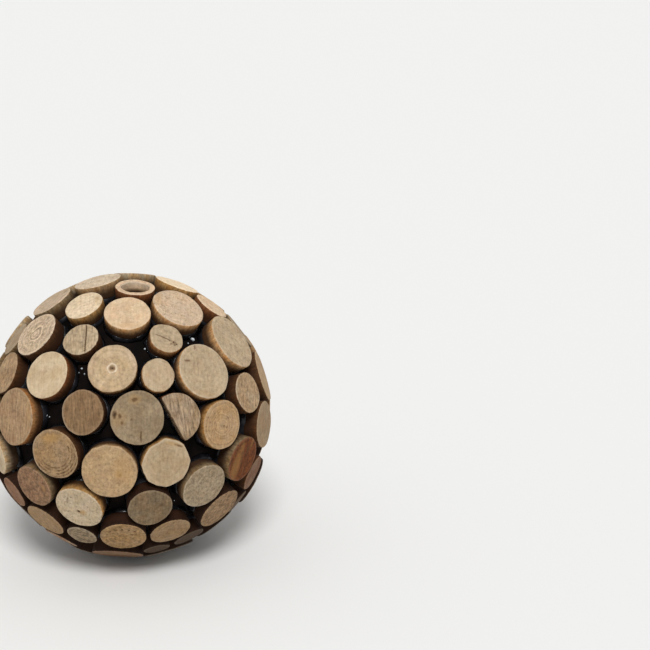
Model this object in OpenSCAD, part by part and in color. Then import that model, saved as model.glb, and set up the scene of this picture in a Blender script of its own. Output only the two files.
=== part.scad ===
// Ball of sawn branch slices glued over a black foam core.
// The ball stands on the sawn face of its lowest slice. The origin is the middle of that face,
// +Z is up and the front of the ball looks along -Y. Sizes are in millimetres.

/* [Core] */
// Diameter of the foam ball under the slices
core_d = 70; // [50:1:110]

/* [Slices] */
// Diameter of a middling slice
slice_d = 12.5; // [9:0.5:18]
// Thickness of a middling slice
slice_t = 4; // [2.5:0.25:7]
// How much a slice may be sawn thicker or thinner than that
saw_spread = 0.3; // [0:0.05:0.6]
// How much narrower than long the most oval slice is
oval = 0.8; // [0:0.1:1.4]
// Least gap between two slices at their undersides
slice_gap = 0.05; // [0.02:0.01:1.5]
// Diameter of the slice that the ball stands on
rest_d = 14; // [10:0.5:20]
// Wood left around the hole of the slice whose heart has rotted out
hollow_wall = 1.3; // [1:0.1:3]
// How far past its middle the split slice reaches
split_past = 0.6; // [0:0.1:2]

/* [Glue] */
// Thickness of the glue under the middle of a slice
glue_t = 0.4; // [0.2:0.05:1]
// How far the glue stops short of a slice's edge
glue_inset = 0.8; // [0.4:0.1:1.6]

/* [Hidden] */
$fn = 48;
core_facets = 160;
core_r = core_d / 2;
seat_r = core_r + glue_t;
rest_t = slice_t + saw_spread;
ball_z = seat_r + rest_t;
gap_angle = atan(slice_gap / seat_r);
// Slices are settled a little wider apart than they need to be
settle_angle = 2 * gap_angle;
settle_rounds = 60;
// Room kept between the floor and every slice but the lowest
floor_gap = 0.15;

// Kinds of branch, with the colour of their sawn wood
KINDS = ["pale", "straw", "tan", "grey", "rose", "brown"];
WOOD = [
    [0.90, 0.83, 0.68],
    [0.83, 0.70, 0.48],
    [0.76, 0.63, 0.47],
    [0.62, 0.56, 0.45],
    [0.77, 0.62, 0.52],
    [0.60, 0.46, 0.34]
];
pale = 0;
straw = 1;
tan = 2;
grey = 3;
rose = 4;
brown = 5;
PAINT = [0.05, 0.05, 0.06];
GLUE = [0.10, 0.10, 0.12];

// Front plan: the slices that face the viewer, seen from plan_tilt degrees above level.
// Each row is how far right of the middle and how far up, in hundredths of the ball's radius,
// then the diameter in hundredths of a middling slice, then the kind of branch.
plan_tilt = 20;
// Turn of the plan, clockwise, about the line of sight
plan_roll = 2.4;
hundredth = 0.01;
FRONT_PLAN = [
    // Crown
    [-23, 92, 100, tan],
    [34, 92, 97, pale],
    [-54, 77, 96, rose],
    [-32, 75, 87, pale],
    [-1, 69, 97, pale],
    [32, 73, 116, tan],
    [57, 76, 80, pale],
    // Upper band
    [-63, 57, 107, rose],
    [-32, 49, 78, grey],
    [25, 50, 72, grey],
    [69, 50, 125, tan],
    [-84, 29, 91, brown],
    [-55, 26, 102, pale],
    [-11, 30, 103, rose],
    [20, 25, 72, pale],
    [49, 26, 120, grey],
    [80, 15, 90, tan],
    [94, 27, 112, tan],
    // Middle band
    [-77, -1, 118, tan],
    [-31, 1, 92, brown],
    [6, -4, 110, grey],
    [64, -8, 101, straw],
    [93, -8, 102, tan],
    // Lower band
    [-89, -31, 85, pale],
    [-49, -28, 106, straw],
    [-63, -47, 94, brown],
    [-10, -38, 115, straw],
    [25, -35, 102, pale],
    [76, -32, 100, brown],
    [85, -40, 81, tan],
    [50, -47, 103, grey],
    // Underside
    [-78, -54, 76, brown],
    [-33, -62, 104, pale],
    [14, -62, 96, grey],
    [61, -64, 106, brown],
    [-58, -72, 93, tan],
    [-33, -82, 69, grey],
    [-7, -83, 98, straw],
    [28, -81, 88, tan],
    [-8, -98, 110, tan],
    // Rim, where only the sides show
    [-84, 62, 84, grey],
    [-44, 92, 108, grey],
    [3, 102, 96, tan],
    [-48, -87, 80, rose]
];
HOLLOW_PLAN = [1, 88, 84, rose];
HALF_PLAN = [31, -2, 104, rose];
// Way that the split side of the half slice looks, turned from straight down
split_turn = -68;

// Rest of the ball: places on a spiral that runs from the rim of the front plan to the back.
// Sizes follow in turn. Gaps that are left anywhere on the ball then take smaller and smaller slices,
// which may first press into their neighbours by the squeeze and make them shift.
fill_start = 0.12;
fill_share = 0.69;
FILL_SIZES = [104, 92, 118, 80, 100, 110, 86, 96, 122, 76];
fill_r = [for (size = FILL_SIZES) size * hundredth * slice_d / 2];
fill_area = 2 * PI * (1 + fill_start) * seat_r * seat_r;
mean_area = PI * (fill_r * fill_r) / len(fill_r);
fill_count = round(fill_share * fill_area / mean_area);
GAP_SIZES = [104, 90, 78, 68, 60];
gap_places = 2000;
gap_rounds = 30;
squeeze = 0.9;
squeeze_angle = atan(squeeze / seat_r);
golden_angle = 180 * (3 - sqrt(5));

// Chance differences between slices, the same every time
chances = 200;
least_oval = 0.2;
saw_chance = rands(-1, 1, chances, 5);
oval_chance = rands(least_oval, 1, chances, 6);
turn_chance = rands(0, 360, chances, 7);
kind_chance = rands(0, len(KINDS), chances, 8);
function drawn(chance, n) = chance[n % chances];

// Forms of slice
whole = "whole";
half = "half";
hollow = "hollow";

// A slice is [name, direction, diameter, kind, form, cap angle, number]
function named(s) = s[0];
function way(s) = s[1];
function across(s) = s[2];
function kind(s) = s[3];
function form(s) = s[4];
function cap(s) = s[5];
function number(s) = s[6];

function unit(v) = v / norm(v);
function cap_of(d) = atan(d / 2 / seat_r);
function made(name, direction, d, branch, form, n) =
    [name, direction, d, branch, form, cap_of(d), n];
function turned(s, direction) =
    [named(s), direction, across(s), kind(s), form(s), cap(s), number(s)];

// Direction from the ball's middle to a place on the front plan, or behind its rim by depth
function tilted(right, up, depth) = unit([
    right,
    up * sin(plan_tilt) - depth * cos(plan_tilt),
    up * cos(plan_tilt) + depth * sin(plan_tilt)
]);
function rolled(right, up) = [
    right * cos(plan_roll) + up * sin(plan_roll),
    up * cos(plan_roll) - right * sin(plan_roll)
];
function on_plan(row) =
    let (p = rolled(row[0], row[1]) * hundredth)
    tilted(p.x, p.y, sqrt(max(0, 1 - p * p)));
function planned(name, row, form, n) =
    made(name, on_plan(row), row[2] * hundredth * slice_d, row[3], form, n);

// Thickness, and how much narrower than long, of each slice
function thick(s) = number(s) == 0 ? rest_t : slice_t + saw_spread * drawn(saw_chance, number(s));
function narrowing(s) = oval * drawn(oval_chance, number(s));

// How many degrees short of clearing each other two slices are, seen from the ball's middle.
// A slice's underside is its widest part from there, so its cap angle decides.
// A neighbour may also stand past the split side of a half slice.
function split_way(s) =
    let (
        w = way(s),
        south = unit([w.x * w.z, w.y * w.z, -w.x * w.x - w.y * w.y]),
        outward = south * cos(split_turn) + cross(w, south) * sin(split_turn),
        lean = atan(split_past / seat_r)
    )
    outward * cos(lean) - w * sin(lean);
function split_crowding(s, k, gap) = cap(k) + gap - asin(way(k) * split_way(s));
function rim_crowding(s, k, gap) = cap(s) + cap(k) + gap - acos(min(1, way(s) * way(k)));
function crowding(s, k, gap) =
    form(s) == half ? min(rim_crowding(s, k, gap), split_crowding(s, k, gap)) :
    form(k) == half ? min(rim_crowding(s, k, gap), split_crowding(k, s, gap)) :
    rim_crowding(s, k, gap);
// The product of one slice's guard and another's probe is above zero where their rims are too close
function guard(s) = concat(way(s), [-cos(cap(s)), sin(cap(s))]);
function probe(s, gap) = concat(way(s), [cos(cap(s) + gap), sin(cap(s) + gap)]);
function guards(rows) = [for (r = rows) guard(r)];
function sum(vectors) = [for (v = vectors) 1] * vectors;

// Settling: in each round every slice after the fixed ones moves off those that crowd it
function settled(rows, fixed, rounds) =
    rounds == 0 ? rows :
    let (gs = guards(rows))
    settled(
        [for (i = [0 : len(rows) - 1]) i < fixed ? rows[i] : nudged(rows, gs, i)],
        fixed,
        rounds - 1
    );
function nudged(rows, gs, i) =
    let (
        s = rows[i],
        close = gs * probe(s, settle_angle),
        pushes = [
            for (j = [0 : len(rows) - 1])
                if (close[j] > 0 && j != i)
                    let (c = crowding(s, rows[j], settle_angle))
                    if (c > 0) unit(way(s) - way(rows[j])) * tan(c / 2)
        ]
    )
    len(pushes) == 0 ? s : turned(s, unit(way(s) + sum(pushes)));

// A slice is placed if it clears every slice placed before it
function clears(s, kept) = len([for (k = kept) if (crowding(s, k, gap_angle) > 0) 1]) == 0;
function placed(rows, kept = [], i = 0) =
    i == len(rows) ? kept :
    placed(rows, clears(rows[i], kept) ? concat(kept, [rows[i]]) : kept, i + 1);

// Place i of those on a spiral that runs from depth start to the back of the ball
function back_slice(i, places, start, size, n) =
    let (
        depth = start - (1 + start) * (i + 0.5) / places,
        out = sqrt(1 - depth * depth),
        direction = tilted(out * cos(i * golden_angle), out * sin(i * golden_angle), depth)
    )
    made("back", direction, size * hundredth * slice_d, floor(drawn(kind_chance, n)), whole, n);
function gap_filled(size, press, kept, gs, i = 0) =
    i == gap_places ? kept :
    let (
        s = back_slice(i, gap_places, 1, size, len(kept)),
        fits = max(gs * probe(s, gap_angle - press)) < 0
    )
    gap_filled(size, press, fits ? concat(kept, [s]) : kept, fits ? concat(gs, [guard(s)]) : gs, i + 1);
// Settles the slices behind the front ones and leaves out those that still don't fit
function spread(rows, rounds) = placed(settled(rows, front_count, rounds), front_slices, front_count);
function pressed_in(kept, i = 0) =
    i == len(GAP_SIZES) ? kept :
    pressed_in(spread(gap_filled(GAP_SIZES[i], squeeze_angle, kept, guards(kept)), gap_rounds), i + 1);
function topped_up(kept, i = 0) =
    i == len(GAP_SIZES) ? kept :
    topped_up(gap_filled(GAP_SIZES[i], 0, kept, guards(kept)), i + 1);

// The lowest slice guards enough room that its widest neighbour can't reach the floor
top_r = seat_r + slice_t + saw_spread;
widest_r = max(concat(fill_r, [for (row = FRONT_PLAN) row[2] * hundredth * slice_d / 2]));
floor_angle = atan(widest_r / top_r) + acos((ball_z - floor_gap) / norm([top_r, widest_r]));
rest_cap = max(cap_of(rest_d), floor_angle - cap_of(2 * widest_r));
rest_slice = ["rest_slice", [0, 0, -1], rest_d, tan, whole, rest_cap, 0];

plan_count = len(FRONT_PLAN);
hollow_slice = planned("hollow_slice", HOLLOW_PLAN, hollow, plan_count + 1);
half_slice = planned("half_slice", HALF_PLAN, half, plan_count + 2);
plan_slices = [
    for (i = [0 : plan_count - 1])
        planned(str("slice_", i < 9 ? "0" : "", i + 1), FRONT_PLAN[i], whole, i + 1)
];
fill_slices = [
    for (i = [0 : fill_count - 1])
        back_slice(i, fill_count, fill_start, FILL_SIZES[i % len(FILL_SIZES)], plan_count + 3 + i)
];
front_plan = concat([rest_slice, hollow_slice, half_slice], plan_slices);
front_slices = placed(settled(front_plan, 1, settle_rounds));
front_count = len(front_slices);
slices = topped_up(pressed_in(spread(concat(front_slices, fill_slices), settle_rounds)));
back_slices = [for (i = [front_count : 1 : len(slices) - 1]) slices[i]];

function back_name(branch) = str("back_slices_", KINDS[branch]);

// Carries a piece to the underside of a slice, with its axis pointing out of the ball
module at_seat(s) {
    direction = way(s);
    translate([0, 0, ball_z])
        rotate([0, acos(direction.z), atan2(direction.y, direction.x)])
            translate([0, 0, seat_r])
                children();
}

// Outline of a slice drawn in from its edge by inset: two circles that cross make the oval
module slice_outline(s, inset = 0) {
    r = across(s) / 2 - inset;
    shift = narrowing(s) / 2;
    arc_r = sqrt(r * r + shift * shift);
    intersection() {
        rotate(drawn(turn_chance, number(s)))
            intersection() {
                translate([shift, 0])
                    circle(r = arc_r);
                translate([-shift, 0])
                    circle(r = arc_r);
            }
        if (form(s) == half)
            rotate(split_turn)
                translate([split_past - inset - 2 * r, -r])
                    square(2 * r);
    }
}

module slice(s) {
    color(WOOD[kind(s)])
        at_seat(s)
            linear_extrude(thick(s))
                difference() {
                    slice_outline(s);
                    if (form(s) == hollow)
                        slice_outline(s, hollow_wall);
                }
}

module back_slices_of(branch) {
    for (s = back_slices)
        if (kind(s) == branch)
            slice(s);
}

module core_ball() {
    sphere(d = core_d, $fn = core_facets);
}

// A pad of glue reaches from a slice's flat underside down to the round core
module glue_pad(s) {
    pad_r = across(s) / 2 - glue_inset;
    sink = core_r - sqrt(core_r * core_r - pad_r * pad_r);
    depth = 2 * (glue_t + sink);
    at_seat(s)
        difference() {
            translate([0, 0, -depth])
                linear_extrude(depth)
                    slice_outline(s, glue_inset);
            translate([0, 0, -seat_r])
                core_ball();
        }
}

module glue() {
    color(GLUE)
        for (s = slices)
            glue_pad(s);
}

module core() {
    color(PAINT)
        translate([0, 0, ball_z])
            core_ball();
}

core();
glue();
for (s = front_slices)
    slice(s);
for (k = [0 : len(KINDS) - 1])
    back_slices_of(k);
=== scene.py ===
"""Looks of the wood slice ball: sawn branch slices with bark sides, glued over a black core.

Every slice is a detailed mesh fitted to its CAD solid. Lengths are in millimetres until a mesh is made.
"""

import math
import random

import bmesh
import bpy
import numpy as np
from mathutils import Matrix, Vector, noise
from mathutils.geometry import convex_hull_2d, delaunay_2d_cdt


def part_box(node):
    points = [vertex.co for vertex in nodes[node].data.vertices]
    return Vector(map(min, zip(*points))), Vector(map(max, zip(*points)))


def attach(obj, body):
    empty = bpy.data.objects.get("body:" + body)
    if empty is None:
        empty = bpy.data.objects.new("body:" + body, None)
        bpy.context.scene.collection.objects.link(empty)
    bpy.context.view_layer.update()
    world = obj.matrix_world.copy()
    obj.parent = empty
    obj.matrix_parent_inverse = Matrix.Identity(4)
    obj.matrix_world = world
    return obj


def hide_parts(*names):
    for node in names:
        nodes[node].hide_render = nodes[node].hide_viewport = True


MM = 0.001

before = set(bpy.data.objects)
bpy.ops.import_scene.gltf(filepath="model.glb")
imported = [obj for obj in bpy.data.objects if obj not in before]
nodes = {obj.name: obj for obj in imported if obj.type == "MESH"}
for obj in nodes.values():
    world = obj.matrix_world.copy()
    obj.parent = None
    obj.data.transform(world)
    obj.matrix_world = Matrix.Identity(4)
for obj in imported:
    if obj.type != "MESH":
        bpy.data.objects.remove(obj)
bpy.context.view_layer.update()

core_low, core_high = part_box("core")
BALL = (core_low + core_high) / 2 / MM
CORE_R = (core_high.x - core_low.x) / 2 / MM

# The picture's view, in pixels: the ball lies left of and below the picture's middle
PICTURE_WIDE = 650
PICTURE_MIDDLE = 325
FOCAL_LENGTH = 1600
BALL_ACROSS = 130
BALL_DOWN = 414
# How steeply and from how far the ball is seen
ELEVATION = math.radians(20)
DISTANCE = 456
VIEW = Vector((0, -math.cos(ELEVATION), math.sin(ELEVATION)))
# Upright in the picture leans a little where the ball stands, left of the middle
ROLL = math.radians(2.4)
VIEW_UP = Vector((
    math.sin(ROLL),
    math.sin(ELEVATION) * math.cos(ROLL),
    math.cos(ELEVATION) * math.cos(ROLL),
))


# Tones of sawn wood and of bark, as display colours from 0 to 255
TONES = {
    "ivory": (232, 211, 180),
    "cream": (208, 187, 155),
    "peach": (212, 183, 150),
    "linen": (206, 188, 163),
    "rosy": (194, 172, 147),
    "beige": (188, 167, 138),
    "wheat": (187, 162, 128),
    "dun": (176, 156, 128),
    "straw": (190, 160, 121),
    "tan": (174, 145, 111),
    "olive": (150, 130, 102),
    "honey": (172, 137, 92),
    "umber": (152, 121, 88),
    "mauve": (154, 118, 90),
    "rust": (131, 73, 33),
}
BARKS = {
    "sandy": (160, 130, 94),
    "mossy": (126, 107, 80),
    "russet": (122, 78, 46),
    "dusky": (80, 53, 30),
    # Bark darkened as painted shade, for slices low on the ball
    "char": (44, 26, 15),
    "ginger": (166, 120, 76),
    "pinkish": (168, 132, 110),
    "ashen": (180, 160, 130),
    "peeled": (196, 156, 110),
    "tawny": (174, 136, 86),
}


def linear(rgb):
    """A display colour as light."""
    return [((c / 255 + 0.055) / 1.055) ** 2.4 for c in rgb]


def look(
    tone, second, bark, light=1.0, grain=1.0, streak=0.3, rings=0.35, speck=0.4, rays=0.0,
    lay=90, rim=0.2, rim_way=None, corners=0, marks=(),
):
    """How one slice looks: two tones of wood and one of bark, then how strongly each kind of figure shows.

    The saw went along lay, in degrees. Light scales both wood tones, and holds painted shade as well as
    tone: it is lower for slices lower on the ball. Rim sets the paler rim, lighter wood with a painted
    highlight, which shows most towards rim_way, if that is given. Marks are placed in shares of the slice's
    radius, x to the right and y up.
    """
    return dict(
        tone=tone, second=second, bark=bark, light=light, grain=grain, streak=streak, rings=rings,
        speck=speck, rays=rays, lay=lay, rim=rim, rim_way=rim_way, corners=corners, marks=marks,
    )


# Marks of a slice
def crack(*points, width=0.3, depth=0.5, through=False):
    return ("crack", points, width, depth, through)


def pit(x, y, r=0.3, depth=0.4):
    return ("pit", (x, y), r, depth)


def stain(x, y, rx, ry, strength, turn=0):
    return ("stain", (x, y), rx, ry, strength, turn)


def glow(x, y, rx, ry, strength, turn=0):
    return ("glow", (x, y), rx, ry, strength, turn)


def halo(x, y, r, strength):
    return ("halo", (x, y), r, strength)


def arcs(x, y, first, step, count, start, end, strength):
    return ("arcs", (x, y), first, step, count, start, end, strength)


def flake(turn, wide, out):
    return ("flake", turn, wide, out)


# Looks of the slices that are pieces of their own. Their light factors hold painted shade as well as tone:
# lower on the ball, darker
LOOKS = {
    "slice_01": look("linen", "rosy", "sandy", 1.10, speck=0.9),
    "slice_02": look("ivory", "ivory", "tawny", 1.13),
    "slice_03": look("rosy", "dun", "mossy", 1.07, streak=0.5, lay=35, rings=0.5, marks=(
        stain(0.75, 0.2, 0.12, 0.2, 0.35),
    )),
    "slice_04": look("ivory", "cream", "tawny", 0.94, rim=0.3, marks=(glow(0.72, 0.15, 0.14, 0.4, 0.35),)),
    "slice_05": look("peach", "cream", "peeled", 0.99, grain=0.6, rim_way=135, rim=0.9, marks=(
        stain(0.05, -0.6, 0.4, 0.08, 0.16), glow(-0.1, -0.75, 0.5, 0.14, 0.25),
    )),
    "slice_06": look("rosy", "peach", "peeled", 1.02, speck=0.9, marks=(glow(-0.85, 0.3, 0.2, 0.5, 0.4),)),
    "slice_07": look("peach", "linen", "russet", 1.09),
    "slice_08": look("rosy", "beige", "dusky", 1.01, grain=1.8, rings=2.0, rim=0.9),
    "slice_09": look("dun", "olive", "dusky", 1.00, streak=0.9, rim=0.5, marks=(
        crack(
            (0.3, 0.97), (0.33, 0.5), (0.3, 0.0), (0.27, -0.5), (0.25, -0.95),
            width=0.2, depth=0.35, through=True,
        ),
        stain(0.3, 0.94, 0.03, 0.12, 0.75), stain(0.25, -0.93, 0.03, 0.12, 0.6),
    )),
    "slice_10": look("dun", "beige", "ginger", 0.95, rings=0.5, marks=(
        crack((-0.6, 0.14), (-0.3, 0.06), (0.0, -0.06), (0.25, -0.17), width=0.09, depth=0.15),
        stain(-0.3, 0.05, 0.62, 0.07, 0.35, -17), stain(0.45, -0.28, 0.24, 0.14, 0.4, -30),
        pit(0.42, -0.22, 0.26), pit(0.6, -0.34, 0.2), pit(0.27, -0.36, 0.14), pit(0.5, -0.42, 0.16),
    )),
    "slice_11": look("beige", "dun", "peeled", 0.97, speck=0.9),
    "slice_12": look("tan", "umber", "dusky", 0.91, grain=1.8, streak=0.9, lay=80),
    "slice_13": look("cream", "wheat", "russet", 0.90, grain=0.5, rim_way=130, rim=0.9, marks=(
        arcs(0.05, -0.05, 0.84, 0.1, 1, 100, 190, 0.3), glow(0.5, 0.0, 0.3, 0.3, 0.25),
    )),
    "slice_14": look(
        "wheat", "rosy", "sandy", 0.92, grain=0.7, rings=0.6, rays=1.0, rim=0.5, rim_way=130,
        marks=(
            halo(0, 0, 0.17, 1.3), stain(0, 0, 0.12, 0.12, 0.6), pit(0.0, 0.0, 0.2, 0.3),
        ),
    ),
    "slice_15": look("beige", "wheat", "peeled", 0.90, grain=0.55, marks=(
        arcs(0.06, 0.06, 0.83, 0.12, 1, 270, 400, 0.5), glow(-0.62, -0.05, 0.14, 0.2, 0.3),
    )),
    "slice_16": look("dun", "beige", "peeled", 0.96, grain=0.8, rim=0.7, streak=0.3, marks=(
        stain(-0.68, 0.27, 0.13, 0.04, 0.7, 6), stain(-0.38, 0.82, 0.035, 0.12, 0.55),
        arcs(0.4, 1.4, 1.45, 0.09, 5, 200, 240, 0.3), glow(0.1, -0.85, 0.5, 0.14, 0.25),
    )),
    "slice_17": look("tan", "beige", "dusky", 0.85, grain=1.6, streak=0.9, rim=0.8, rim_way=180),
    "slice_18": look("tan", "wheat", "dusky", 1.00),
    "slice_19": look("tan", "mauve", "ginger", 0.87, streak=0.9, lay=85, rays=0.4, marks=(
        stain(0.3, -0.15, 0.25, 0.3, 0.14), glow(0.8, 0.2, 0.12, 0.5, 0.3),
    )),
    "slice_20": look("umber", "umber", "dusky", 0.66, streak=1.0, lay=93, rim=0.8, rim_way=190),
    "slice_21": look("olive", "dun", "dusky", 0.75, streak=0.3, rings=0.4, marks=(
        stain(-0.86, 0.13, 0.09, 0.15, 0.9), stain(-0.66, 0.06, 0.07, 0.11, 0.7, 10),
        stain(-0.58, -0.2, 0.06, 0.09, 0.6), stain(-0.1, 0.68, 0.12, 0.09, 0.65, 20),
        glow(-0.12, 0.7, 0.25, 0.2, 0.4), glow(-0.7, -0.05, 0.3, 0.35, 0.3),
        stain(-0.22, -0.07, 0.06, 0.05, 0.5),
        crack((0.14, -0.93), (0.13, -0.72), (0.15, -0.52), width=0.12, depth=0.2),
    )),
    "slice_22": look("tan", "honey", "tawny", 0.92, rings=1.0, speck=1.0, rim=0.7, rim_way=0, marks=(
        stain(0.1, -0.05, 0.06, 0.05, 0.7), stain(0.25, -0.12, 0.04, 0.04, 0.6),
        stain(0.0, -0.5, 0.3, 0.12, 0.2), arcs(0.1, 0.0, 0.5, 0.2, 2, 120, 240, 0.18),
    )),
    "slice_23": look("tan", "dun", "dusky", 0.76),
    "slice_24": look("cream", "dun", "ashen", 0.94, grain=0.6),
    "slice_25": look("tan", "honey", "dusky", 0.73, grain=1.6, rings=0.7, rim=0.8, rim_way=200, marks=(
        glow(-0.2, 0.62, 0.45, 0.2, 0.6, 10), arcs(-0.05, 0.12, 0.7, 0.12, 4, 212, 395, 1.0),
        stain(0.45, 0.0, 0.14, 0.35, 0.2),
    )),
    "slice_26": look("mauve", "umber", "mossy", 0.76, grain=2.2, streak=0.7, lay=80, speck=0.8, marks=(
        glow(0.6, 0.2, 0.16, 0.2, 0.35),
    )),
    "slice_27": look("straw", "tan", "sandy", 0.83, speck=0.7, rings=0.6, marks=(
        glow(0.36, -0.08, 0.16, 0.16, 0.6), glow(0.5, 0.1, 0.4, 0.5, 0.3),
        stain(0.38, -0.1, 0.09, 0.08, 0.3), flake(70, 24, 0.35), flake(100, 16, 0.4), flake(125, 10, 0.25),
    )),
    "slice_28": look("wheat", "cream", "tawny", 0.75, grain=0.6, rim=0.8, corners=8, marks=(
        flake(62, 20, 0.35), flake(92, 22, 0.45), stain(0.52, 0.72, 0.2, 0.05, 0.6, -25),
        glow(0.35, 0.8, 0.4, 0.08, 0.5, -20),
    )),
    "slice_29": look("rust", "rust", "mossy", 0.57, grain=2.4, streak=1.3, lay=63, marks=(
        glow(-0.5, -0.1, 0.85, 0.3, 0.42, 63), glow(-0.1, 0.6, 0.3, 0.16, 0.35, 63),
        glow(0.62, 0.5, 0.3, 0.1, 0.25, 60), stain(-0.1, 0.1, 0.5, 0.06, 0.4, 63),
        stain(0.3, 0.35, 0.3, 0.07, 0.45, 65), stain(0.1, -0.45, 0.35, 0.07, 0.35, 60),
    )),
    "slice_30": look("mauve", "rust", "dusky", 0.66, grain=1.3),
    "slice_31": look("dun", "beige", "mossy", 0.69, grain=1.8, rim=0.9, rim_way=225, rays=0.3),
    "slice_32": look("mauve", "rust", "char", 0.82, grain=1.3),
    "slice_33": look("cream", "linen", "tawny", 0.79, speck=1.1, marks=(
        pit(-0.02, -0.2, 0.42, 0.4), glow(0.14, -0.2, 0.16, 0.13, 0.7), stain(-0.02, -0.2, 0.12, 0.1, 0.4),
        stain(-0.5, 0.25, 0.04, 0.18, 0.45), stain(-0.62, 0.05, 0.03, 0.12, 0.35),
    )),
    "slice_34": look("olive", "umber", "char", 0.61, grain=1.6, streak=0.6, marks=(
        stain(0.5, 0.1, 0.14, 0.1, 0.45),
    )),
    "slice_35": look("umber", "tan", "char", 0.82, grain=2.6, rings=0.4, marks=(
        stain(0.1, 0.15, 0.05, 0.05, 0.5),
    )),
    "slice_36": look("tan", "honey", "char", 0.79, grain=1.3, rings=0.5),
    "slice_37": look("olive", "dun", "char", 0.72, grain=2.8, speck=0.8, rim=0.7),
    "slice_38": look("honey", "tan", "char", 0.76, grain=2.4, marks=(
        pit(-0.55, 0.45, 0.3), pit(-0.3, 0.56, 0.26), pit(-0.05, 0.6, 0.32), pit(0.25, 0.57, 0.28),
        pit(0.5, 0.48, 0.24), pit(0.4, 0.2, 0.2),
    )),
    "slice_39": look("tan", "honey", "char", 0.72, grain=1.3, rings=0.7),
    "slice_40": look("mauve", "tan", "char", 0.61),
    "slice_41": look("dun", "tan", "ashen", 0.86, streak=0.6),
    "slice_42": look("dun", "beige", "ashen", 0.90, streak=0.6),
    "slice_43": look("dun", "rosy", "ashen", 1.04),
    "slice_44": look("mauve", "rosy", "char", 0.88),
    "hollow_slice": look("peach", "rosy", "russet", 1.08, rim=0.8),
    "half_slice": look("tan", "rosy", "russet", 0.63, streak=1.5, lay=102),
    "rest_slice": look("tan", "straw", "pinkish"),
}
# Tones that the slices out of the picture's sight are drawn from, by kind of branch
CHOICES = {
    "pale": (("ivory", "linen", "peach"), ("mossy", "sandy", "russet")),
    "straw": (("straw", "honey", "cream"), ("dusky", "russet", "sandy")),
    "tan": (("wheat", "tan", "beige"), ("sandy", "dusky", "russet")),
    "grey": (("dun", "olive", "linen"), ("dusky", "mossy", "ginger")),
    "rose": (("rosy", "peach", "mauve"), ("russet", "dusky", "sandy")),
    "brown": (("mauve", "umber", "tan"), ("dusky", "russet", "dusky")),
}
# Shares of those slices that have each kind of mark
CRACKED = 0.16
PITTED = 0.25
STAINED = 0.3
GLOWING = 0.5


def drawn_look(kind, rng):
    """A look for a slice that the picture doesn't show."""
    tones, barks = CHOICES[kind]
    between = rng.uniform
    marks = []
    if rng.random() < CRACKED:
        turn = between(0, 2 * math.pi)
        reach = [0.95, between(0.5, 0.6), between(0.05, 0.25)]
        marks.append(crack(*(on_circle(turn + 0.1 * k) * k for k in reach)))
    if rng.random() < PITTED:
        marks.append(pit(between(-0.12, 0.12), between(-0.12, 0.12), between(0.2, 0.4)))
    for make, share in ((stain, STAINED), (glow, GLOWING)):
        if rng.random() < share:
            marks.append(make(
                between(-0.7, 0.7), between(-0.7, 0.7), between(0.1, 0.4), between(0.1, 0.3),
                turn=between(0, 180), strength=between(0.15, 0.4),
            ))
    return look(
        rng.choice(tones), rng.choice(tones), rng.choice(barks), light=between(0.94, 1.05),
        grain=between(0.6, 1.6), streak=rng.choice((0.3, 0.5, 0.9)), rings=rng.choice((0.3, 0.6, 1.2)),
        speck=between(0.3, 0.9), rays=rng.choice((0.0, 0.3, 0.8)), lay=between(0, 180),
        rim=between(0.1, 0.8), marks=marks,
    )


# A side that looks this squarely away from the ball's middle belongs to a slice's sawn face
CAP_FACING = 0.95
# A face seen more edge on than this takes the picture's upright as it is
LEAST_FACING = 0.2
# Points of the face nearer its middle than this share of its radius are a hole's
HOLE_SHARE = 0.8
# Points as near as this are one point
WELD = 1e-6


class Solid:
    """One slice of the frame: its axis, its outline round that axis and the heights of its two faces."""

    def __init__(self, points, faces):
        mid = sum(points, Vector()) / len(points)
        rough = (mid - BALL).normalized()
        capped = [(n, a, vs) for n, a, vs in faces if n.dot(rough) > CAP_FACING]
        self.axis = sum((n * a for n, a, _ in capped), Vector()).normalized()
        heights = [(p - BALL).dot(self.axis) for p in points]
        self.foot = min(heights)
        self.top = max(heights)
        facing = VIEW.dot(self.axis)
        upright = VIEW_UP
        if facing > LEAST_FACING:
            upright = VIEW_UP - VIEW * VIEW_UP.dot(self.axis) / facing
        self.up = (upright - self.axis * upright.dot(self.axis)).normalized()
        self.right = self.up.cross(self.axis)
        flat = [Vector(((p - BALL).dot(self.right), (p - BALL).dot(self.up))) for p in points]
        cap_points = {i for _, _, vs in capped for i in vs}
        shape = [flat[i] for i in cap_points]
        self.outline = [shape[i] for i in convex_hull_2d(shape)]
        middle = sum(self.outline, Vector((0, 0))) / len(self.outline)
        self.outline.sort(key=lambda p: math.atan2(p.y - middle.y, p.x - middle.x))
        rim = {tuple(p) for p in self.outline}
        hole_reach = HOLE_SHARE * max(p.length for p in shape)
        inner = [p for p in shape if tuple(p) not in rim and p.length < hole_reach]
        self.hole = sorted(inner, key=lambda p: math.atan2(p.y, p.x))

    def world(self, x, y, h):
        return (BALL + self.right * x + self.up * y + self.axis * h) * MM


def solids_of(obj):
    """The solids in a node of the frame, welded and taken apart."""
    bm = bmesh.new()
    bm.from_mesh(obj.data)
    bmesh.ops.remove_doubles(bm, verts=bm.verts, dist=WELD)
    bm.verts.ensure_lookup_table()
    bm.faces.ensure_lookup_table()
    seen = set()
    found = []
    for seed_face in bm.faces:
        if seed_face.index in seen:
            continue
        stack = [seed_face]
        seen.add(seed_face.index)
        group = []
        while stack:
            face = stack.pop()
            group.append(face)
            for edge in face.edges:
                for other in edge.link_faces:
                    if other.index not in seen:
                        seen.add(other.index)
                        stack.append(other)
        order = {v.index: None for f in group for v in f.verts}
        place = {index: i for i, index in enumerate(order)}
        points = [bm.verts[index].co / MM for index in order]
        faces = [(f.normal.copy(), f.calc_area(), [place[v.index] for v in f.verts]) for f in group]
        found.append(Solid(points, faces))
    bm.free()
    return found


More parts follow.
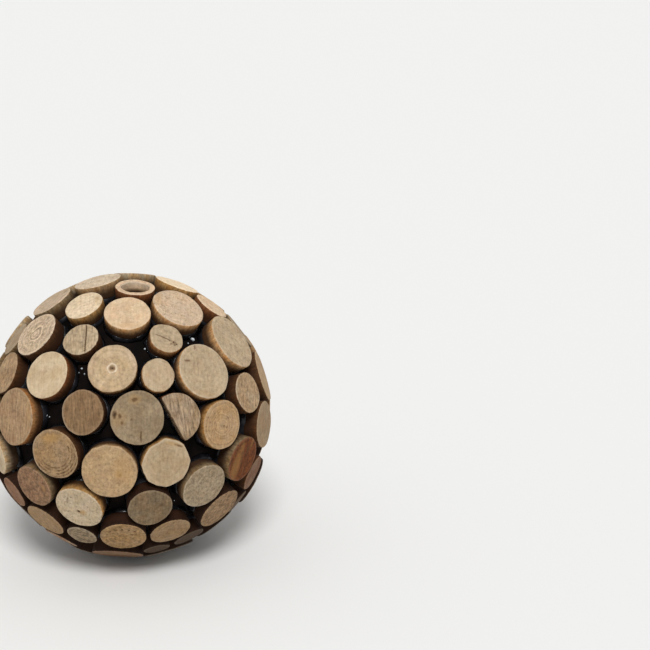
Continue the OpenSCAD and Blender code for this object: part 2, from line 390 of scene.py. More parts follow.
def around(points, count):
    """A closed outline walked round in count equal steps, from its right-hand side."""
    pts = np.array([tuple(p) for p in points])
    start = int(np.argmin(np.abs(np.arctan2(pts[:, 1], pts[:, 0]))))
    pts = np.roll(pts, -start, axis=0)
    closed = np.vstack([pts, pts[:1]])
    steps = np.linalg.norm(np.diff(closed, axis=0), axis=1)
    along = np.concatenate([[0], np.cumsum(steps)])
    at = np.linspace(0, along[-1], count, endpoint=False)
    return np.stack([np.interp(at, along, closed[:, k]) for k in (0, 1)], axis=1)


def outward(ring):
    """Unit vectors that point out of a ring at each of its points."""
    tangent = np.roll(ring, -1, axis=0) - np.roll(ring, 1, axis=0)
    normal = np.stack([tangent[:, 1], -tangent[:, 0]], axis=1)
    return normal / np.linalg.norm(normal, axis=1)[:, None]


def wobble(x, y, z, seed):
    """Smooth noise from -1 to 1, another for each seed."""
    return noise.noise(Vector((x + 13.7 * seed, y - 7.3 * seed, z + 3.1 * seed)))


def wobble_round(angle, waves, z, seed):
    """Smooth noise that closes on itself round a circle."""
    return wobble(waves * math.cos(angle), waves * math.sin(angle), z, seed)


def bump(distance, wide):
    return math.exp(-(distance / wide) ** 2)


def on_circle(angle):
    return Vector((math.cos(angle), math.sin(angle)))


class Shape:
    """Points, faces and point attributes of a mesh as it is put together."""

    # Wear holds real stains and marks together with painted shade and highlights
    FIELDS = {
        **dict.fromkeys(("spot", "lay", "marks", "wear", "zone"), "FLOAT_VECTOR"),
        **dict.fromkeys(("tone", "second", "bark"), "FLOAT_COLOR"),
    }
    EMPTY = {"FLOAT_VECTOR": (0, 0, 0), "FLOAT_COLOR": (0, 0, 0, 1)}

    def __init__(self):
        self.points = []
        self.faces = []
        self.data = {name: [] for name in self.FIELDS}

    def add(self, point, **fields):
        self.points.append(point)
        for name, kind in self.FIELDS.items():
            self.data[name].append(fields.get(name, self.EMPTY[kind]))
        return len(self.points) - 1

    def strip(self, upper, lower):
        count = len(upper)
        for i in range(count):
            j = (i + 1) % count
            self.faces.append((upper[i], lower[i], lower[j], upper[j]))

    def fan(self, ring, centre):
        count = len(ring)
        for i in range(count):
            self.faces.append((ring[i], centre, ring[(i + 1) % count]))

    def stack(self, rings, top, low):
        """Joins rings from the highest down, and closes them with a point at either end."""
        self.fan(rings[0][::-1], top)
        for upper, lower in zip(rings, rings[1:]):
            self.strip(upper, lower)
        self.fan(rings[-1], low)

    def made(self, name, material):
        mesh = bpy.data.meshes.new(name)
        mesh.from_pydata(self.points, [], self.faces)
        for field, kind in self.FIELDS.items():
            attribute = mesh.attributes.new(field, kind, "POINT")
            values = np.array(self.data[field], np.float32).ravel()
            attribute.data.foreach_set("color" if kind == "FLOAT_COLOR" else "vector", values)
        return linked(name, mesh, material)


def linked(name, mesh, material):
    """A smooth object of a mesh and a material, put into the scene."""
    mesh.polygons.foreach_set("use_smooth", [True] * len(mesh.polygons))
    mesh.materials.append(material)
    mesh.validate()
    obj = bpy.data.objects.new(name, mesh)
    bpy.context.scene.collection.objects.link(obj)
    return obj


# Edge of a slice: how far in from its side, and how deep below its face, each ring of points lies
EDGE = ((0.34, 0.0), (0.18, 0.045), (0.06, 0.16), (0.0, 0.34))
FACE_INSET = EDGE[0][0]
EDGE_DEPTH = EDGE[-1][1]
SIDE_RINGS = 6
FOOT_BEVEL = 0.12
# Share of its radius by which a slice widens from its foot to its face
FLARE = 0.045

# How far noise moves the parts of a slice
OUTLINE_SWELL = 0.2
OUTLINE_RIPPLE = 0.07
OUTLINE_INSET = 0.02
FACE_SWELL = 0.05
SAW_RIDGE = 0.028
BARK_ROUGH = 0.09
BARK_FINE = 0.05
CRACK_SWAY = 0.08
HOLE_SWELL = 0.18
HOLE_ROUGH = 0.12

# The ball stands on the slice that points down as straight as this
STRAIGHT_DOWN = 0.99
# A sawn face slants by up to this slope and is sunk this far, deeper where the ball stands on it
SLANT = 0.018
SUNK = 0.03
STOOD_ON_SUNK = 0.08

# A slice whose side comes nearer its middle than this share of its radius was split there
SPLIT_SHARE = 0.5
# Points of the side that face as the split does, at least this squarely, have no bark
SPLIT_FACING = 0.97
# How many seeds the shader's noise tells apart
SHADER_SEEDS = 97

# The paler rim, lighter wood with a painted highlight, is full this far in from the edge, and fades over the
# next stretch
RIM_FULL = 0.12
RIM_FADE = 0.38
RIM_STRENGTH = 0.65

# Cracks, pits, halos and saw arcs
CRACK_STEP = 0.3
CRACK_CLOSED = 0.03
CRACK_EDGE = 0.1
CRACK_CLEAR = 0.12
PIT_POINTS = 9
# Rings of a pit: how far out, how deep, and how dark with painted shade
PIT_RINGS = ((1.0, 0, 0.35), (0.65, 0.75, 0.9))
HALO_POINTS = 28
HALO_RINGS = (0.5, 0.65, 0.8, 0.9, 1.0, 1.1, 1.2, 1.35)
ARC_WIDE = 0.16
ARC_DEEP = 0.09
ARC_END = 12

# Rows of the hollow slice's face, and depths of the rings down its rotted wall
HOLLOW_ROWS = 4
HOLLOW_LIP = 0.15
HOLLOW_DEPTHS = (0.15, 0.5, 1.0, 1.6, 2.3, 3.1)


class SliceMaker:
    """Fits one detailed slice to a solid and adds it to a shape."""

    def __init__(self, shape, solid, style, count, spacing, seed):
        self.shape = shape
        self.solid = solid
        self.style = style
        self.count = count
        self.spacing = spacing
        self.seed = seed
        self.rng = random.Random(seed)
        self.radius = max(p.length for p in solid.outline)
        self.depth = solid.top - solid.foot
        stood_on = solid.axis.z < -STRAIGHT_DOWN
        slant = 0 if stood_on else SLANT
        self.lean = (self.rng.uniform(-slant, slant), self.rng.uniform(-slant, slant))
        self.sunk = STOOD_ON_SUNK if stood_on else SUNK
        angle = math.radians(style["lay"])
        self.lay = (math.cos(angle), math.sin(angle), seed % SHADER_SEEDS)
        self.rays = style["rays"]
        self.grain = style["grain"]
        # What marks add to the face: points with a height and a darkness, edges and places to keep clear
        self.points = []
        self.edges = []
        self.clear = []
        # The light factor darkens both tones, as painted shade as well as tone
        tint = [c * style["light"] for c in linear(TONES[style["tone"]])]
        second = [c * style["light"] for c in linear(TONES[style["second"]])]
        self.fixed = dict(
            lay=self.lay,
            marks=(style["streak"], style["rings"], style["speck"]),
            tone=(*tint, 1),
            second=(*second, 1),
            bark=(*linear(BARKS[style["bark"]]), 1),
        )

    def point(self, x, y, h, drop, wear, zone):
        """A point of the slice that lies so far below its face, with its wear, its painted shading and its
        zone of wood.
        """
        place = self.solid.world(x, y, h)
        return self.shape.add(place, spot=(x, y, drop), wear=wear, zone=zone, **self.fixed)

    def grown(self, ring):
        """An outline that has grown a little unevenly."""
        out = outward(ring)
        grown = np.empty_like(ring)
        for i, (x, y) in enumerate(ring):
            a = math.atan2(y, x)
            swell = OUTLINE_SWELL * wobble_round(a, 1.3, 0, self.seed)
            swell += OUTLINE_RIPPLE * wobble_round(a, 4, 5, self.seed)
            if self.style["corners"]:
                turn = math.pi / self.style["corners"]
                flat = math.cos(turn) / math.cos(a % (2 * turn) - turn) - 1
                swell += 0.5 * self.radius * (flat + 0.4 * (1 - math.cos(turn)))
            grown[i] = ring[i] + out[i] * (swell - OUTLINE_INSET + FLARE * self.radius)
        return grown

    def pale_rim_and_highlight(self, x, y, inside):
        """How strongly the paler rim, lighter wood with a painted highlight, shows at a point that lies so
        far inside the edge.
        """
        way = self.style["rim_way"]
        side = 1.0
        if way is not None:
            side = 0.25 + 0.75 * max(0, math.cos(math.atan2(y, x) - math.radians(way)))
        faded = max(0.0, 1 - max(0.0, inside - RIM_FULL) / RIM_FADE)
        return RIM_STRENGTH * self.style["rim"] * side * faded

    def relief(self, x, y):
        """Height of the sawn face, with its slant and the saw's low ridges."""
        along = x * self.lay[0] + y * self.lay[1]
        across = y * self.lay[0] - x * self.lay[1]
        slow = FACE_SWELL * wobble(0.22 * x, 0.22 * y, 0, self.seed)
        ridges = SAW_RIDGE * wobble(0.25 * along, 1.5 * across, 2, self.seed)
        return self.lean[0] * x + self.lean[1] * y + slow + ridges - self.sunk

    def add_crack(self, inside, shares, width, depth, through):
        """A crack along a line: a lip on either side of its floor, closer together towards its ends."""
        line = [Vector(p) * self.radius for p in shares]
        fine = []
        for a, b in zip(line, line[1:]):
            steps = max(2, round((b - a).length / CRACK_STEP))
            fine += [a.lerp(b, k / steps) for k in range(steps)]
        fine.append(line[-1])
        last = len(fine) - 1
        rows = {-1: [], 0: [], 1: []}
        for k, p in enumerate(fine):
            ahead = (fine[min(k + 1, last)] - fine[max(k - 1, 0)]).normalized()
            side = Vector((-ahead.y, ahead.x))
            taper = math.sin(math.pi * min(1, 0.25 + 0.75 * (last - k) / last)) if k < last else 0
            if through:
                taper = 0.75 + 0.25 * math.sin(math.pi * k / last)
            open_by = width / 2 * taper * (0.8 + 0.4 * self.rng.random())
            p = p + side * CRACK_SWAY * wobble(2.0 * p.x, 2.0 * p.y, 1, self.seed)
            if inside(p.x, p.y) < open_by + CRACK_EDGE:
                continue
            if open_by < CRACK_CLOSED:
                rows[0].append(len(self.points))
                self.points.append((p, -0.05, 0.6))
                continue
            for lane in (-1, 0, 1):
                # The floor of a crack and its lips are painted dark, as shade
                height, dark = (0.0, 0.6) if lane else (-depth * taper, 1.0)
                rows[lane].append(len(self.points))
                self.points.append((p + side * open_by * lane, height, dark))
            self.clear.append((p, open_by + CRACK_CLEAR))
        for row in rows.values():
            self.edges += list(zip(row, row[1:]))

    def add_pit(self, share, r, depth):
        mid = Vector(share) * self.radius
        turn = self.rng.uniform(0, 1)
        for reach, drop, dark in PIT_RINGS:
            first = len(self.points)
            for k in range(PIT_POINTS):
                a = turn + 2 * math.pi * k / PIT_POINTS
                uneven = r * reach * (1 + 0.25 * wobble_round(a, 2, 9, self.seed))
                self.points.append((mid + on_circle(a) * uneven, -depth * drop, dark))
            self.edges += [(first + k, first + (k + 1) % PIT_POINTS) for k in range(PIT_POINTS)]
        self.points.append((mid, -depth, 1.0))
        self.clear.append((mid, 1.25 * r + 0.1))

    def add_halo(self, share, r):
        """Closer points round a pale ring, so that its edge is crisp."""
        mid = Vector(share) * self.radius
        for reach in HALO_RINGS:
            for k in range(HALO_POINTS):
                a = 2 * math.pi * (k + 20 * reach) / HALO_POINTS
                self.points.append((mid + on_circle(a) * r * reach * self.radius, 0.0, 0.0))
        self.clear.append((mid, 1.45 * r * self.radius))

    def patch_at(self, x, y, at, rx, ry, strength, turn):
        """How strongly an oval patch shows at a point."""
        a = math.radians(turn)
        du, dv = x / self.radius - at[0], y / self.radius - at[1]
        p = (du * math.cos(a) + dv * math.sin(a)) / rx
        q = (dv * math.cos(a) - du * math.sin(a)) / ry
        reach = math.hypot(p, q) + 0.35 * wobble(1.6 * x, 1.6 * y, 4, self.seed)
        return strength * max(0.0, min(1.0, 1.6 - 1.2 * reach))

    def halo_at(self, x, y, at, r, strength):
        """How strongly a pale ring shows at a point."""
        away = math.hypot(x / self.radius - at[0], y / self.radius - at[1])
        uneven = 0.3 * wobble(0.9 * x, 0.9 * y, 6, self.seed)
        shown = strength * (0.8 + 0.9 * wobble(3.0 * x, 3.0 * y, 8, self.seed))
        return shown * bump(away - r * (1 + uneven), 0.17 * r)

    def arcs_at(self, x, y, at, first, step, lines, start, end, strength):
        """How strongly a saw's arcs show at a point."""
        u, v = x / self.radius - at[0], y / self.radius - at[1]
        a = (math.degrees(math.atan2(v, u)) - start) % 360
        if a > end - start:
            return 0.0
        away = math.hypot(u, v) - first
        k = min(max(round(away / step), 0), lines - 1)
        ends = min(1.0, a / ARC_END, (end - start - a) / ARC_END)
        near = bump((away - k * step) * self.radius, ARC_WIDE) * ends
        return strength * near * (0.65 + 0.7 * wobble(0.1 * a, k, 0, self.seed))

    def wear(self, x, y):
        """Dark, warm and pale patches of the face at a point, and the depth of its saw arcs."""
        dark, warm, pale, groove = 0.0, 0.0, 0.0, 0.0
        for kind, *mark in self.style["marks"]:
            if kind == "stain":
                dark = max(dark, self.patch_at(x, y, *mark))
            elif kind == "glow":
                warm = max(warm, self.patch_at(x, y, *mark))
            elif kind == "halo":
                pale = max(pale, self.halo_at(x, y, *mark))
            elif kind == "arcs":
                shown = self.arcs_at(x, y, *mark)
                dark = max(dark, shown)
                groove = min(groove, -ARC_DEEP * shown)
        return dark, warm, pale, groove

    def flaring(self, angle):
        """How far a flake of bark stands out from the side at an angle."""
        out = 0.0
        for kind, *mark in self.style["marks"]:
            if kind == "flake":
                turn, wide, far = mark
                off = (math.degrees(angle) - turn + 180) % 360 - 180
                out = max(out, far * bump(off, wide / 2) * (0.75 + 0.5 * wobble(off, 0, 3, self.seed)))
        return out

    def face(self, ring):
        """The sawn face inside a ring, as triangles; returns its points along the ring."""
        count = len(ring)
        middle = ring.mean(axis=0)
        angles = np.arctan2(ring[:, 1] - middle[1], ring[:, 0] - middle[0])
        order = np.argsort(angles)
        reach = np.hypot(*(ring - middle).T)[order]
        angles = angles[order]

        def inside(x, y):
            a = math.atan2(y - middle[1], x - middle[0])
            edge = np.interp(a, angles, reach, period=2 * math.pi)
            return edge - math.hypot(x - middle[0], y - middle[1])

        for kind, *mark in self.style["marks"]:
            if kind == "crack":
                self.add_crack(inside, *mark)
            elif kind == "pit":
                self.add_pit(*mark)
            elif kind == "halo":
                self.add_halo(mark[0], mark[1])
        points = [(Vector(p), 0.0, 0.0) for p in ring]
        edges = [(i + count, j + count) for i, j in self.edges]
        points += self.points
        points += [(p, 0.0, 0.0) for p in self.spread(inside)]
        flat, _, faces, sources, _, _ = delaunay_2d_cdt(
            [p for p, _, _ in points], edges, [list(range(count))], 1, WELD)
        index = []
        along = [None] * count
        for p, source in zip(flat, sources):
            _, dip, shade = points[source[0]] if source else (None, 0.0, 0.0)
            dark, warm, pale, groove = self.wear(p.x, p.y)
            gap = max(0.0, float(inside(p.x, p.y))) + FACE_INSET
            h = self.solid.top + self.relief(p.x, p.y) + dip + groove
            # Stains and glows, painted shade of cracks and pits, pale rings and the rim's painted highlight
            wear = (max(dark, shade), warm, max(pale, self.pale_rim_and_highlight(p.x, p.y, gap)))
            index.append(self.point(p.x, p.y, h, 0, wear, (0, self.rays, self.grain)))
            for s in source:
                if s < count:
                    along[s] = index[-1]
        for f in faces:
            self.shape.faces.append(tuple(index[i] for i in f))
        return along

    def spread(self, inside):
        """Points spread over the face in uneven rows, clear of its edge and its marks."""
        step = self.spacing
        row_step = step * math.sqrt(3) / 2
        rows = int(self.radius / row_step) + 2
        found = []
        for r in range(-rows, rows + 1):
            for c in range(-rows - 2, rows + 3):
                x = (c + 0.5 * (r % 2)) * step + 0.25 * step * wobble(c, r, 0.5, self.seed)
                y = r * row_step + 0.25 * step * wobble(r, c, 1.5, self.seed)
                if math.hypot(x, y) > self.radius or inside(x, y) < 0.6 * step:
                    continue
                if any((Vector((x, y)) - p).length < gap for p, gap in self.clear):
                    continue
                found.append(Vector((x, y)))
        return found

    def side(self, ring, out, upper, split=None):
        """Rounded edge and bark side below a ring of face points; returns the lowest ring."""
        levels = list(EDGE[1:])
        for k in range(SIDE_RINGS):
            levels.append((0.0, EDGE_DEPTH + (self.depth - FOOT_BEVEL - EDGE_DEPTH) * (k + 1) / SIDE_RINGS))
        levels.append((FOOT_BEVEL, self.depth))
        flare = FLARE * self.radius
        for inset, drop in levels:
            lower = []
            share = drop / self.depth
            for i, (x, y) in enumerate(ring):
                a = math.atan2(y, x)
                bare = 0.0 if split is None else float(split[i])
                rough = BARK_ROUGH * wobble_round(a, 5, 0.25 * drop, self.seed + 3)
                rough += BARK_FINE * wobble_round(a, 14, 1.2 * drop, self.seed + 5)
                fade = min(1.0, drop / EDGE_DEPTH)
                lip = self.flaring(a) * bump(drop - 0.2, 0.8)
                off = -inset + rough * fade + lip - flare * share
                if drop == self.depth:
                    off = -inset - flare
                px, py = x + out[i][0] * off, y + out[i][1] * off
                h = self.solid.top - drop + self.relief(x, y) * (1 - share)
                bark = min(1.0, max(0.0, (drop - 0.06) / 0.2)) * (1 - bare)
                # The paler rim and its painted highlight run over the top of the side
                wear = (0, 0, self.pale_rim_and_highlight(x, y, 0) * max(0, 1 - drop / 0.2))
                lower.append(self.point(px, py, h, drop, wear, (bark, 0, self.grain)))
            self.shape.strip(upper, lower)
            upper = lower
        return upper

    def add(self):
        ring = self.grown(around(self.solid.outline, self.count))
        out = outward(ring)
        if self.solid.hole:
            self.add_hollow(ring, out)
            return
        # A slice split along its length has no bark where it was split
        split = None
        if min(np.hypot(*ring.T)) < SPLIT_SHARE * self.radius:
            chord = min(range(self.count), key=lambda i: math.hypot(*ring[i]))
            split = [float(out[i] @ out[chord] > SPLIT_FACING) for i in range(self.count)]
        along = self.face(ring - out * FACE_INSET)
        lowest = self.side(ring, out, along, split)
        centre = self.point(0, 0, self.solid.foot, 0, (0, 0, 0), (1, 0, 1))
        self.shape.fan(lowest, centre)

    def add_hollow(self, ring, out):
        """A ring of wood round a rotted heart: face, bark side and ragged inner wall."""
        hole = around(self.solid.hole, self.count)
        hole_out = outward(hole)
        for i, (x, y) in enumerate(hole):
            hole[i] += hole_out[i] * HOLE_SWELL * wobble_round(math.atan2(y, x), 2.2, 7, self.seed)
        edge = ring - out * FACE_INSET
        lip = hole + hole_out * HOLLOW_LIP
        rows = []
        for k in range(HOLLOW_ROWS + 1):
            row = []
            share = k / HOLLOW_ROWS
            for i in range(self.count):
                x, y = edge[i] * (1 - share) + lip[i] * share
                gap = FACE_INSET + math.hypot(*(edge[i] - lip[i])) * share
                h = self.solid.top + self.relief(x, y)
                # The row at the hole's lip is a little darker
                wear = (0.25 * (k == HOLLOW_ROWS), 0, self.pale_rim_and_highlight(x, y, gap))
                row.append(self.point(x, y, h, 0, wear, (0, self.rays, self.grain)))
            rows.append(row)
        for outer, inner in zip(rows, rows[1:]):
            self.shape.strip(inner, outer)
        lowest = self.side(ring, out, rows[0])
        wall = rows[-1]
        for drop in (*HOLLOW_DEPTHS, self.depth):
            row = []
            for i, (x, y) in enumerate(hole):
                rough = HOLE_ROUGH * wobble_round(math.atan2(y, x), 6, drop, self.seed + 9)
                px, py = x + hole_out[i][0] * rough, y + hole_out[i][1] * rough
                # Painted shade darkens the wall deep in the hole, and painted light lightens it high up
                wear = (min(1, max(0, (drop - 1.8) / 1.2)), 0, max(0, 1 - drop / 2))
                row.append(self.point(px, py, self.solid.top - drop, drop, wear, (0.2, 0, self.grain)))
            self.shape.strip(row, wall)
            wall = row
        self.shape.strip(lowest, wall)


class Graph:
    """Short ways to add shader nodes to a material or to the world."""

    def __init__(self, owner):
        owner.use_nodes = True
        self.owner = owner
        self.tree = owner.node_tree

    def feed(self, socket, value):
        if isinstance(value, bpy.types.NodeSocket):
            self.tree.links.new(value, socket)
        else:
            socket.default_value = value

    def node(self, kind, inputs=(), **settings):
        node = self.tree.nodes.new(kind)
        for name, value in settings.items():
            setattr(node, name, value)
        for key, value in dict(inputs).items():
            self.feed(node.inputs[key], value)
        return node

    def field(self, name):
        return self.node("ShaderNodeAttribute", attribute_name=name, attribute_type="GEOMETRY")

    def colour(self, name):
        return self.field(name).outputs["Color"]

    def vector(self, name):
        split = self.node("ShaderNodeSeparateXYZ", {0: self.field(name).outputs["Vector"]})
        return split.outputs[0], split.outputs[1], split.outputs[2]

    def math(self, operation, a, b):
        return self.node("ShaderNodeMath", {0: a, 1: b}, operation=operation).outputs[0]

    def plus(self, a, b):
        return self.math("ADD", a, b)

    def minus(self, a, b):
        return self.math("SUBTRACT", a, b)

    def times(self, a, b):
        return self.math("MULTIPLY", a, b)

    def joined(self, x, y, z):
        return self.node("ShaderNodeCombineXYZ", {0: x, 1: y, 2: z}).outputs[0]

    def scaled(self, vector, factor):
        return self.node("ShaderNodeVectorMath", {0: vector, "Scale": factor}, operation="SCALE").outputs[0]

    def added(self, a, b):
        return self.node("ShaderNodeVectorMath", {0: a, 1: b}, operation="ADD").outputs[0]

    def noise(self, vector, scale=1.0, detail=2.0, roughness=0.5, output="Fac"):
        inputs = {"Vector": vector, "Scale": scale, "Detail": detail, "Roughness": roughness}
        return self.node("ShaderNodeTexNoise", inputs).outputs[output]

    def span(self, value, low, high, to_low=0.0, to_high=1.0):
        inputs = {"Value": value, "From Min": low, "From Max": high, "To Min": to_low, "To Max": to_high}
        return self.node("ShaderNodeMapRange", inputs, interpolation_type="SMOOTHSTEP").outputs["Result"]

    def mix(self, factor, a, b, blend="MIX"):
        inputs = {"Factor": factor, 6: a, 7: b}
        return self.node("ShaderNodeMix", inputs, data_type="RGBA", blend_type=blend).outputs[2]

    def tinted(self, colour, tint):
        return self.mix(1.0, colour, tint, "MULTIPLY")

    def grey(self, value):
        return self.node("ShaderNodeCombineColor", {0: value, 1: value, 2: value}).outputs[0]

    def bump(self, height, strength, distance):
        inputs = {"Height": height, "Strength": strength, "Distance": distance}
        return self.node("ShaderNodeBump", inputs).outputs[0]

    def set(self, **inputs):
        """Feeds the material's own shader and returns the material."""
        for key, value in inputs.items():
            self.feed(self.tree.nodes["Principled BSDF"].inputs[key.replace("_", " ")], value)
        return self.owner


def new_material(name):
    return Graph(bpy.data.materials.new(name))


# Colours of light that the wood turns to
WARM_WOOD = (0.42, 0.23, 0.07, 1)
# Pale rings of the wood, and painted light: the rims' highlight and the hollow's upper wall
PALE_WOOD_AND_HIGHLIGHT = (0.80, 0.69, 0.54, 1)
STAINED_WOOD = (0.10, 0.050, 0.019, 1)
# Painted shade in the floors of cracks and pits
CRACK_DARK = (0.022, 0.013, 0.008, 1)
BARK_PATCH = (1.0, 0.81, 0.6, 1)
# Painted shade deep down the sides, in the gaps between slices, warm as if lit by the wood around it
PAINTED_GAP_SHADE = (0.030, 0.011, 0.004, 1)
# Slow drifts of hue over the wood: where each noise starts, its scale, its most and its tint
DRIFTS = (
    ((31.0, 17.0, 5.0), 0.45, 0.22, (0.90, 0.69, 0.63, 1)),
    ((11.0, 47.0, 2.0), 0.38, 0.22, (0.90, 0.85, 0.60, 1)),
    ((5.0, 29.0, 61.0), 0.3, 0.35, (0.72, 0.69, 0.66, 1)),
)


def wood_material():
    g = new_material("branch wood")
    spot = g.field("spot").outputs["Vector"]
    x, y, drop = g.vector("spot")
    lay_x, lay_y, seed = g.vector("lay")
    streaky, ringed, specked = g.vector("marks")
    dark, warm, pale = g.vector("wear")
    bark_zone, rays, grain = g.vector("zone")

    shift = g.joined(g.times(seed, 3.7), g.times(seed, -1.9), g.times(seed, 0.83))
    here = g.added(spot, shift)
    along = g.plus(g.times(x, lay_x), g.times(y, lay_y))
    across = g.minus(g.times(y, lay_x), g.times(x, lay_y))

    # Layers of the sawn face: streaks along the saw's way, growth rings, rays, pores, mottling, fine grain
    streak = g.noise(g.joined(g.times(across, 1.9), g.times(along, 0.22), seed), 1.0, 4.0, 0.65)
    sway = g.noise(here, 0.3, 1.0, output="Color")
    bent = g.added(g.joined(x, y, 0.0), g.scaled(sway, 1.6))
    heart = g.added(bent, (-0.8, -0.8, -0.8))
    away = g.node("ShaderNodeVectorMath", {0: heart}, operation="LENGTH").outputs["Value"]
    ring = g.noise(g.joined(g.times(away, 1.5), seed, 0.0), 1.0, 2.0, 0.6)
    ray_way = g.node("ShaderNodeVectorMath", {0: heart}, operation="NORMALIZE").outputs["Vector"]
    ray = g.noise(g.added(g.scaled(ray_way, 5.0), shift), 1.0, 2.0, 0.6)
    speck = g.span(g.noise(here, 1.7, 2.0, 0.6), 0.58, 0.70)
    fine = g.noise(here, 9.0, 2.0, 0.6)
    mottle = g.noise(here, 1.1, 4.0, 0.7)
    blotch = g.span(g.noise(here, 0.22), 0.35, 0.7, 0.0, 0.6)

    wood = g.mix(blotch, g.colour("tone"), g.colour("second"))
    light = g.minus(1.0, g.times(speck, g.times(specked, 0.38)))
    for layer, strength, most in (
        (streak, streaky, 2.0),
        (ring, ringed, 1.3),
        (ray, rays, 0.7),
        (fine, grain, 0.5),
        (mottle, grain, 1.2),
    ):
        light = g.plus(light, g.times(g.minus(layer, 0.5), g.times(strength, most)))
    wood = g.tinted(wood, g.grey(light))
    for start, scale, most, tint in DRIFTS:
        drift = g.span(g.noise(g.added(here, start), scale, 3.0, 0.6), 0.4, 0.7, 0.0, most)
        wood = g.mix(drift, wood, g.tinted(wood, tint))
    wood = g.mix(g.times(warm, 0.8), wood, WARM_WOOD)
    # Pale rings lighten the wood, and so does painted light on the rims and high in the hollow
    wood = g.mix(g.times(pale, 0.55), wood, PALE_WOOD_AND_HIGHLIGHT)
    # Real stains and saw arcs darken the wood, and so does painted shade in cracks, pits and deep in the
    # hollow; the darkest go near black
    wood = g.mix(g.span(dark, 0.0, 0.7, 0.0, 0.85), wood, STAINED_WOOD)
    wood = g.mix(g.span(dark, 0.6, 1.0, 0.0, 0.9), wood, CRACK_DARK)

    # Bark of the side: fibres along the branch, patches of two hues, and painted shade that darkens it
    # towards the gaps
    deep = g.plus(g.times(drop, 0.45), seed)
    fibres = g.noise(g.joined(g.times(x, 1.8), g.times(y, 1.8), deep), 1.0, 4.0, 0.7)
    scales = g.noise(here, 1.1, 3.0, 0.6)
    bark = g.colour("bark")
    bark = g.mix(g.span(g.noise(here, 0.5), 0.35, 0.7), bark, g.tinted(bark, BARK_PATCH))
    relief = g.plus(g.span(fibres, 0.25, 0.75, 0.55, 1.2), g.span(scales, 0.3, 0.7, -0.18, 0.18))
    bark = g.tinted(bark, g.grey(relief))
    # Painted shade: the bark darkens with depth towards the gaps
    bark = g.mix(g.span(drop, 0.2, 2.9, 0.0, 0.94), bark, PAINTED_GAP_SHADE)
    ragged = g.plus(bark_zone, g.times(g.minus(g.noise(here, 2.6, 3.0), 0.5), 0.9))
    is_bark = g.times(g.span(ragged, 0.35, 0.75), g.span(bark_zone, 0.05, 0.3))

    height = g.times(fine, 0.4)
    for layer, most in ((streak, 0.6), (mottle, 0.8), (g.times(fibres, is_bark), 1.6)):
        height = g.plus(height, g.times(layer, most))
    return g.set(
        Base_Color=g.mix(is_bark, wood, bark),
        Roughness=g.plus(g.span(fine, 0.2, 0.8, 0.62, 0.8), g.times(is_bark, 0.08)),
        Specular_IOR_Level=0.15,
        Normal=g.bump(height, 0.6, 0.00014),
    )


def core_material():
    g = new_material("black paint on foam")
    place = g.node("ShaderNodeTexCoord").outputs["Object"]
    coarse = g.noise(place, 260.0, 3.0)
    beads = g.node("ShaderNodeTexVoronoi", {"Vector": place, "Scale": 420.0}).outputs["Distance"]
    return g.set(
        Base_Color=g.mix(g.span(coarse, 0.35, 0.7), (0.0025, 0.0018, 0.0016, 1), (0.008, 0.005, 0.004, 1)),
        Roughness=g.span(coarse, 0.3, 0.7, 0.7, 0.9),
        Specular_IOR_Level=0.05,
        Normal=g.bump(beads, 0.4, 0.0003),
    )


def glue_material():
    """Clear glue that shows the black paint below it, milky where it stands in drops and whiter towards
    their tops as a painted glint, dusty under crumbs.
    """
    g = new_material("hot glue")
    place = g.node("ShaderNodeTexCoord").outputs["Object"]
    cloud = g.noise(place, 180.0, 2.0)
    milky, dusty, _ = g.vector("wear")
    clear = g.mix(g.span(cloud, 0.35, 0.7), (0.004, 0.004, 0.005, 1), (0.02, 0.02, 0.024, 1))
    # Milky glue, pale and bluish enough to stand in for glints as a painted highlight
    milky_glint = g.mix(g.span(cloud, 0.3, 0.7), (0.50, 0.55, 0.58, 1), (0.78, 0.83, 0.86, 1))
    return g.set(
        Base_Color=g.mix(dusty, g.mix(milky, clear, milky_glint), (0.030, 0.017, 0.009, 1)),
        Roughness=g.plus(g.span(cloud, 0.3, 0.7, 0.12, 0.3), g.times(dusty, 0.6)),
        Specular_IOR_Level=0.2,
        Normal=g.bump(g.noise(place, 700.0, 1.0), 0.3, 0.0002),
    )


def place_piece(obj, *names):
    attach(obj, "root")
    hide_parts(*names)


# Points round a slice and spacing of the points on its face, finer where the picture shows it
FRONT_COUNT = 112
FRONT_SPACING = 0.34
BACK_COUNT = 88
BACK_SPACING = 0.46
# Where the seeds of the pieces start
FRONT_SEED = 100
FRONT_GLUE_SEED = 300
BACK_SEED = 500
BACK_SEED_STEP = 40
BACK_GLUE_SEED = 300
BEAD_SEED = 900
# Slices of the hidden side that face the view by more than this show at the ball's outline
AT_OUTLINE = 0.05
# Slices that look down by more than this are on the underside, which gets painted shade: darker tones and
# the darkest bark
UNDERSIDE = 0.25
DARKEST = 0.25

WOOD = wood_material()
all_solids = []

# Slices that are pieces of their own
for number, (name, style) in enumerate(sorted(LOOKS.items())):
    shape = Shape()
    solid = solids_of(nodes[name])[0]
    all_solids.append((solid, FRONT_GLUE_SEED + number))
    SliceMaker(shape, solid, style, FRONT_COUNT, FRONT_SPACING, FRONT_SEED + number).add()
    place_piece(shape.made(name + "_wood", WOOD), name)


